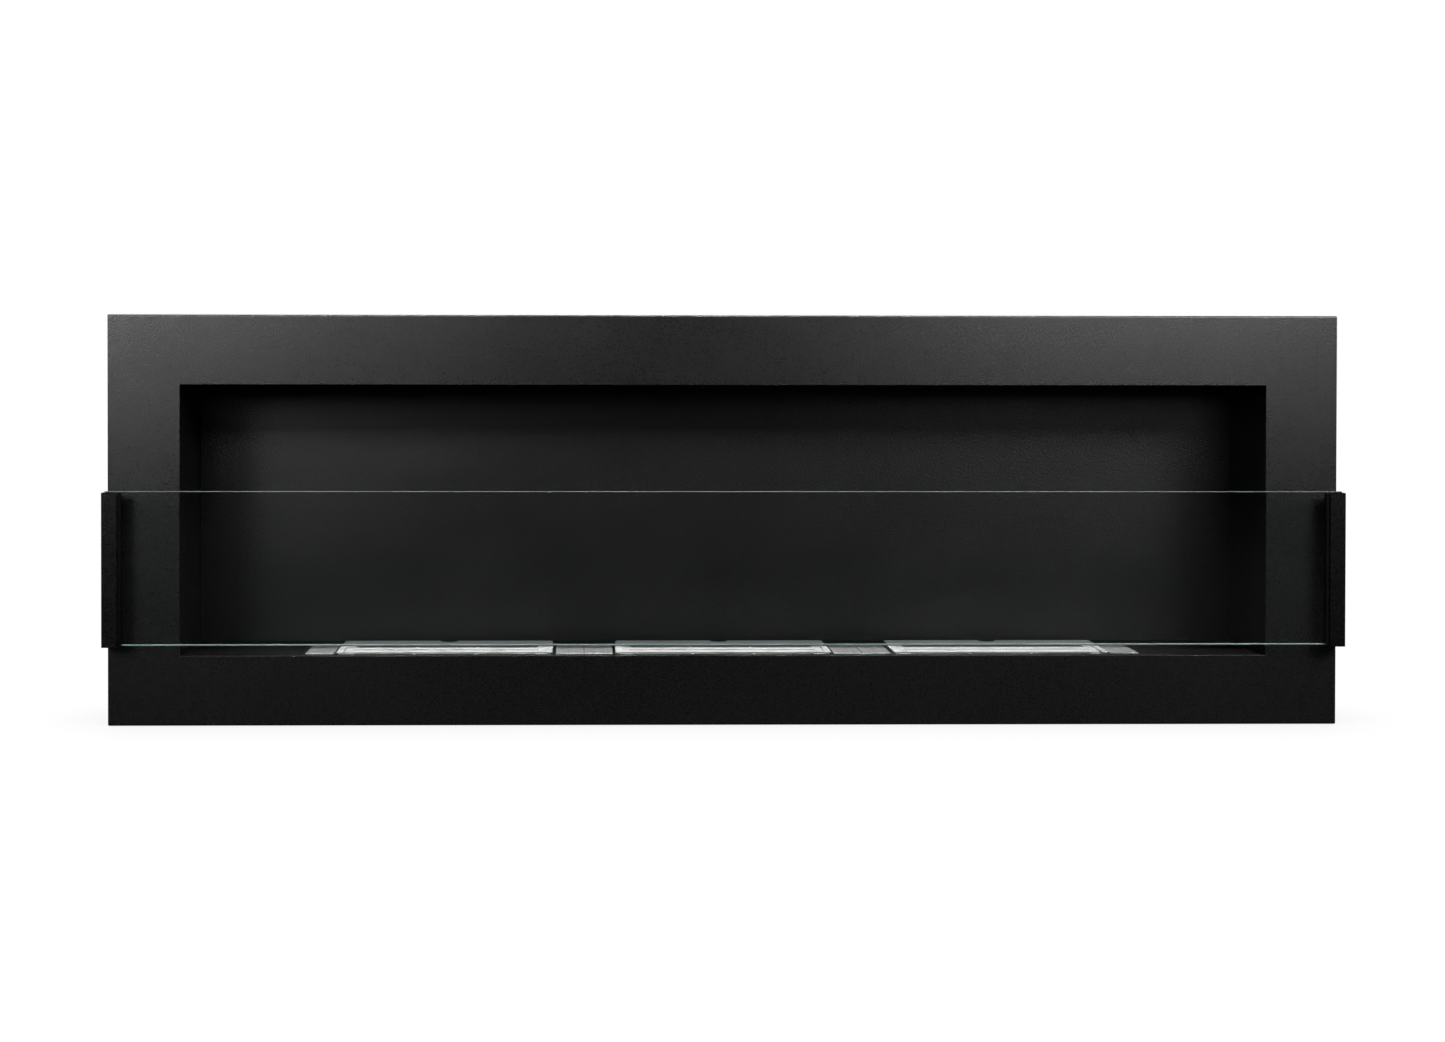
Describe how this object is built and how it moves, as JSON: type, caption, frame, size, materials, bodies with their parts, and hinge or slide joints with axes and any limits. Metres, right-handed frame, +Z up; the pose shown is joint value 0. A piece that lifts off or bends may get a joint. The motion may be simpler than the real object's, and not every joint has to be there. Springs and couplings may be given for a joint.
{
  "type": "wall recess bio-ethanol fireplace",
  "caption": "Wide black steel wall-recess fireplace with stainless liquid-fuel burners in its floor and a lift-out glass screen.",
  "frame": {"origin": "centre of the whole object's footprint (its bounding box in X and Y), on the casing's lowest face", "axes": "+X to the right seen from the front, +Y towards the wall, +Z up; the face and the glass look along -Y"},
  "size_m": [1.2074, 0.1414, 0.4],
  "materials": {
    "black_powder_coat": "fine-texture matt black powder coat",
    "black_heat_paint": "matt black heat-resistant paint",
    "brushed_stainless": "brushed along the width",
    "polished_stainless": "polished, with fine handling marks",
    "tank_stainless": "mill finish",
    "screen_glass": "clear, with a pale green edge",
    "seal_rubber": "matt black",
    "ceramic_fibre": "off-white fibre",
    "black_screw_steel": "black oxide"
  },
  "bodies": {
    "casing": {"front_frame": "black_powder_coat", "rear_cover": "black_powder_coat", "glass_bracket_left": "black_powder_coat", "glass_bracket_right": "black_powder_coat", "niche_floor": "black_heat_paint", "niche_ceiling": "black_heat_paint", "niche_wall_left": "black_heat_paint", "niche_wall_right": "black_heat_paint", "niche_back": "black_heat_paint", "rear_cover_screw_1": "black_screw_steel", "rear_cover_screw_2": "black_screw_steel", "rear_cover_screw_3": "black_screw_steel", "rear_cover_screw_4": "black_screw_steel", "rear_cover_screw_5": "black_screw_steel", "rear_cover_screw_6": "black_screw_steel", "bracket_screw_left_lower": "black_screw_steel", "bracket_screw_left_upper": "black_screw_steel", "bracket_screw_right_lower": "black_screw_steel", "bracket_screw_right_upper": "black_screw_steel", "glass_gasket_left": "seal_rubber", "glass_gasket_right": "seal_rubber", "trim_plate_1_left": "brushed_stainless", "trim_plate_1_right": "brushed_stainless", "trim_plate_2_left": "brushed_stainless", "trim_plate_2_right": "brushed_stainless", "trim_plate_3_left": "brushed_stainless", "trim_plate_3_right": "brushed_stainless"},
    "glass": {"glass_pane": "screen_glass"},
    "burner_1": {"burner_top_1": "polished_stainless", "fuel_tank_1": "tank_stainless", "ceramic_wool_1": "ceramic_fibre", "guide_rail_1_left": "polished_stainless", "guide_rail_1_right": "polished_stainless"},
    "regulator_slide_1": {"regulator_1": "polished_stainless"},
    "burner_2": {"burner_top_2": "polished_stainless", "fuel_tank_2": "tank_stainless", "ceramic_wool_2": "ceramic_fibre", "guide_rail_2_left": "polished_stainless", "guide_rail_2_right": "polished_stainless"},
    "regulator_slide_2": {"regulator_2": "polished_stainless"},
    "burner_3": {"burner_top_3": "polished_stainless", "fuel_tank_3": "tank_stainless", "ceramic_wool_3": "ceramic_fibre", "guide_rail_3_left": "polished_stainless", "guide_rail_3_right": "polished_stainless"},
    "regulator_slide_3": {"regulator_3": "polished_stainless"}
  },
  "joints": [
    {"name": "glass_lift", "type": "slide", "parent": "casing", "child": "glass", "axis": [0, 0, 1], "range_m": [0, 0.15]},
    {"name": "burner_lift_1", "type": "slide", "parent": "casing", "child": "burner_1", "axis": [0, 0, 1], "range_m": [0, 0.06]},
    {"name": "regulator_close_1", "type": "slide", "parent": "burner_1", "child": "regulator_slide_1", "axis": [0, -1, 0], "range_m": [0, 0.0075]},
    {"name": "burner_lift_2", "type": "slide", "parent": "casing", "child": "burner_2", "axis": [0, 0, 1], "range_m": [0, 0.06]},
    {"name": "regulator_close_2", "type": "slide", "parent": "burner_2", "child": "regulator_slide_2", "axis": [0, -1, 0], "range_m": [0, 0.0075]},
    {"name": "burner_lift_3", "type": "slide", "parent": "casing", "child": "burner_3", "axis": [0, 0, 1], "range_m": [0, 0.06]},
    {"name": "regulator_close_3", "type": "slide", "parent": "burner_3", "child": "regulator_slide_3", "axis": [0, -1, 0], "range_m": [0, 0.0075]}
  ]
}
